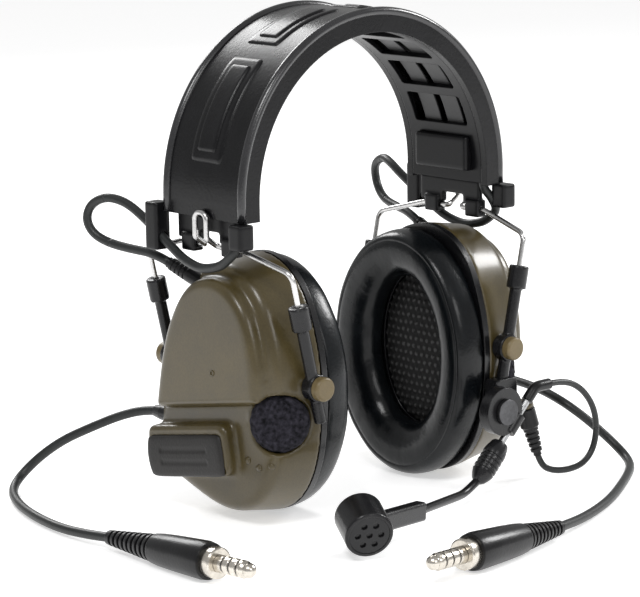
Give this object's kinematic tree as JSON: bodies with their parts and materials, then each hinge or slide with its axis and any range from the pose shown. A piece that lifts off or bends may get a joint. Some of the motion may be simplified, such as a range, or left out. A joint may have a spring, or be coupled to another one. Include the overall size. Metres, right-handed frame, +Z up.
{
  "type": "radio headphones",
  "caption": "Folding ear-defender headset with an arched headband, wire forks, a boom microphone and radio leads that end in round plugs.",
  "frame": {"origin": "middle of the headset's base, on the surface that the cups stand on, measured without cords and plugs", "axes": "+X to the wearer's left, -Y to the front, +Z up"},
  "size_m": [0.2576, 0.2362, 0.2113],
  "materials": {
    "band_rubber": "soft satin black",
    "band_plastic": "satin black",
    "spring_steel": "bare spring steel",
    "fork_steel": "drawn stainless wire",
    "arm_plastic": "satin black",
    "olive_plastic": "satin olive",
    "tan_plastic": "satin tan",
    "plate_plastic": "satin black",
    "cushion_skin": "glossy black",
    "liner_cloth": "perforated black foam cloth",
    "speaker_plastic": "matte black",
    "board_green": "solder mask",
    "cell_case": "printed can",
    "contact_nickel": "nickel plate",
    "door_rubber": "matte dark grey",
    "mic_foam": "open-cell foam",
    "key_rubber": "matte",
    "cable_rubber": "matte dark grey",
    "plug_rubber": "satin black",
    "plug_metal": "nickel plate",
    "boom_steel": "dark steel"
  },
  "bodies": {
    "headband": {"headband_cover": "band_rubber", "headband_frame": "band_plastic", "spring_strips": "spring_steel", "inner_blocks": "band_plastic", "yokes": "band_plastic", "headband_clips": "band_plastic", "link_cable": "cable_rubber", "link_loop_left": "cable_rubber", "link_loop_right": "cable_rubber"},
    "fork_left": {"fork_wire_left": "fork_steel"},
    "slider_left": {"arms_left": "arm_plastic", "boom_clamp": "arm_plastic", "boom_screw": "plug_metal"},
    "cup_left": {"cup_shell_left": "olive_plastic", "ear_plate_left": "plate_plastic", "cushion_left": "cushion_skin", "liner_left": "liner_cloth", "speaker_left": "speaker_plastic", "circuit_board_left": "board_green", "cell_left": "cell_case", "battery_contacts_left": "contact_nickel", "foam_mic_left": "mic_foam", "pivot_buttons_left": "tan_plastic", "link_relief_left": "plug_rubber", "lead_gland_left": "plug_rubber", "lead_left": "cable_rubber", "plug_body_left": "plug_rubber", "plug_pin_left": "plug_metal", "boom_plug": "plug_rubber", "boom_cord": "cable_rubber"},
    "door_left": {"battery_door_left": "door_rubber"},
    "fork_right": {"fork_wire_right": "fork_steel"},
    "slider_right": {"arms_right": "arm_plastic"},
    "cup_right": {"cup_shell_right": "olive_plastic", "ear_plate_right": "plate_plastic", "cushion_right": "cushion_skin", "liner_right": "liner_cloth", "speaker_right": "speaker_plastic", "circuit_board_right": "board_green", "cell_right": "cell_case", "battery_contacts_right": "contact_nickel", "foam_mic_right": "mic_foam", "pivot_buttons_right": "tan_plastic", "link_relief_right": "plug_rubber", "lead_gland_right": "plug_rubber", "lead_right": "cable_rubber", "plug_body_right": "plug_rubber", "plug_pin_right": "plug_metal"},
    "door_right": {"battery_door_right": "door_rubber"},
    "key_1": {"key_1": "key_rubber"},
    "key_2": {"key_2": "key_rubber"},
    "key_3": {"key_3": "key_rubber"},
    "boom_holder": {"boom_holder": "arm_plastic"},
    "boom": {"boom_rod": "boom_steel", "boom_sleeve": "plug_rubber", "boom_ferrule": "arm_plastic", "boom_neck": "plug_rubber", "mic_housing": "arm_plastic", "mic_grille": "arm_plastic"}
  },
  "joints": [
    {"name": "fork_fold_left", "type": "hinge", "parent": "headband", "child": "fork_left", "pos_m": [0.07, 0.02217, 0.116], "axis": [0, 1, 0], "range_deg": [0, 30], "deforming": ["link_loop_left"]},
    {"name": "arm_slide_left", "type": "slide", "parent": "fork_left", "child": "slider_left", "axis": [0.2215, 0, 0.9751], "range_m": [-0.025, 0], "deforming": ["link_loop_left"]},
    {"name": "cup_tilt_left", "type": "hinge", "parent": "slider_left", "child": "cup_left", "pos_m": [0.055, 0.02217, 0.061], "axis": [0, -1, 0], "range_deg": [-8, 8], "deforming": ["link_loop_left", "boom_cord"]},
    {"name": "door_left", "type": "hinge", "parent": "cup_left", "child": "door_left", "pos_m": [0.0755, 0.03237, 0.02045], "axis": [0, 0.9848, -0.1736], "range_deg": [0, 80]},
    {"name": "fork_fold_right", "type": "hinge", "parent": "headband", "child": "fork_right", "pos_m": [-0.07, 0.02217, 0.116], "axis": [0, 1, 0], "range_deg": [-30, 0], "deforming": ["link_loop_right"]},
    {"name": "arm_slide_right", "type": "slide", "parent": "fork_right", "child": "slider_right", "axis": [0.2215, 0, -0.9751], "range_m": [0, 0.025], "deforming": ["link_loop_right"]},
    {"name": "cup_tilt_right", "type": "hinge", "parent": "slider_right", "child": "cup_right", "pos_m": [-0.055, 0.02217, 0.061], "axis": [0, -1, 0], "range_deg": [-8, 8], "deforming": ["link_loop_right"]},
    {"name": "door_right", "type": "hinge", "parent": "cup_right", "child": "door_right", "pos_m": [-0.0755, 0.03237, 0.02045], "axis": [0, -0.9848, 0.1736], "range_deg": [0, 80]},
    {"name": "key_1_press", "type": "slide", "parent": "cup_left", "child": "key_1", "axis": [-1, 0, 0], "range_m": [0, 0.001], "stiffness_N_per_m": 600},
    {"name": "key_2_press", "type": "slide", "parent": "cup_left", "child": "key_2", "axis": [-1, 0, 0], "range_m": [0, 0.001], "stiffness_N_per_m": 600},
    {"name": "key_3_press", "type": "slide", "parent": "cup_left", "child": "key_3", "axis": [-1, 0, 0], "range_m": [0, 0.001], "stiffness_N_per_m": 600},
    {"name": "boom_pivot", "type": "hinge", "parent": "slider_left", "child": "boom_holder", "pos_m": [0.0435, -0.03233, 0.036], "axis": [0, -1, 0], "range_deg": [-110, 0], "deforming": ["boom_cord"]},
    {"name": "boom_slide", "type": "slide", "parent": "boom_holder", "child": "boom", "axis": [-0.7071, 0, -0.7071], "range_m": [0, 0.004], "deforming": ["boom_cord"]}
  ]
}
